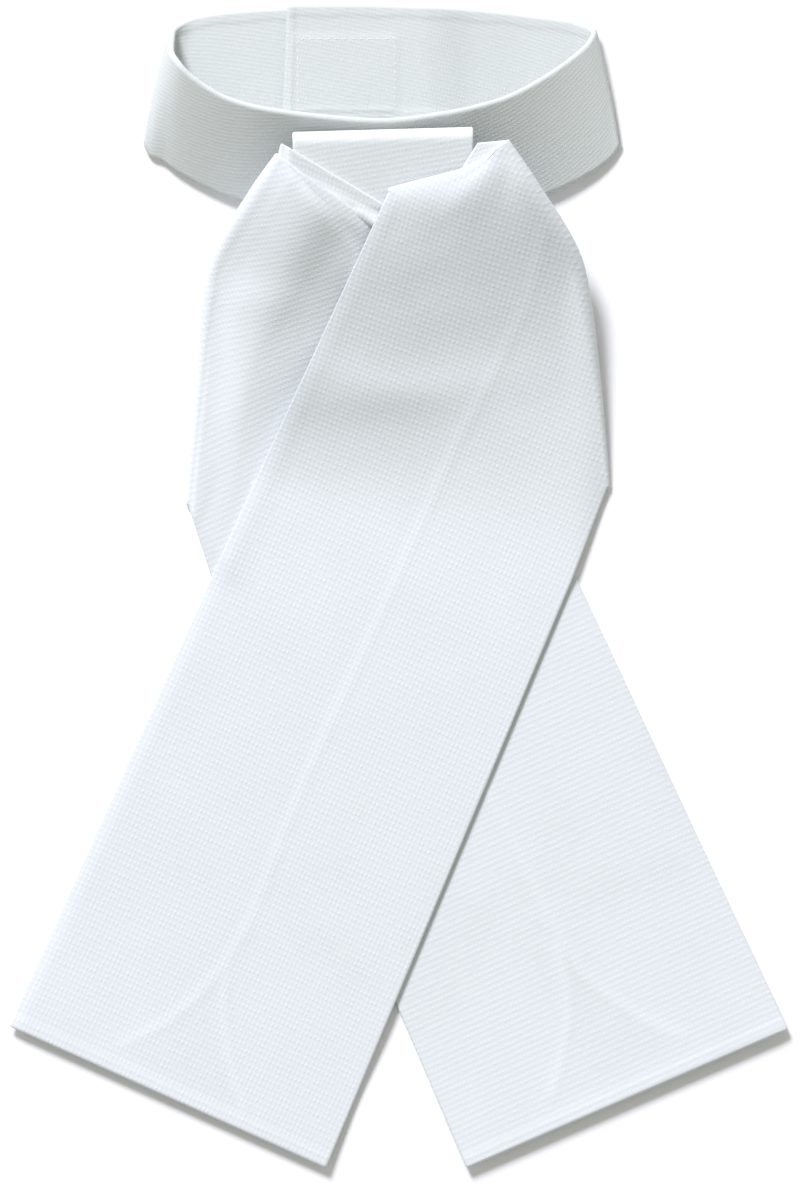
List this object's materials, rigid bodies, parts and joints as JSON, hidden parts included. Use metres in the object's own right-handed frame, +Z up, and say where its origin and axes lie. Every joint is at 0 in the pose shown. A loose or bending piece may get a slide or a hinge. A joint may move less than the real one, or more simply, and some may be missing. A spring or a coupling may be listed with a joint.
{
  "type": "cravat",
  "caption": "Ready-tied riding cravat in white cotton: a neckband with an overlapping fastening, a flat knot wrap and crossed scarf tails, lying on its back.",
  "frame": {"origin": "middle of the box round the whole cravat, in plan, at the surface it lies on", "axes": "+Z up from the surface it lies on, +Y along its length from the tails to the neckband, +X to the right as seen from above"},
  "size_m": [0.2706, 0.4062, 0.0342],
  "materials": {
    "scarf_cotton": "matt white cotton pique, birdseye ribs",
    "band_cotton": "matt white cotton, lined and stiffened",
    "fastener_tape": "white woven fastener tape"
  },
  "bodies": {
    "root": {"neckband": "band_cotton", "fastener_pad": "fastener_tape", "knot_wrap": "scarf_cotton", "under_tail": "scarf_cotton", "over_tail": "scarf_cotton"}
  },
  "joints": []
}
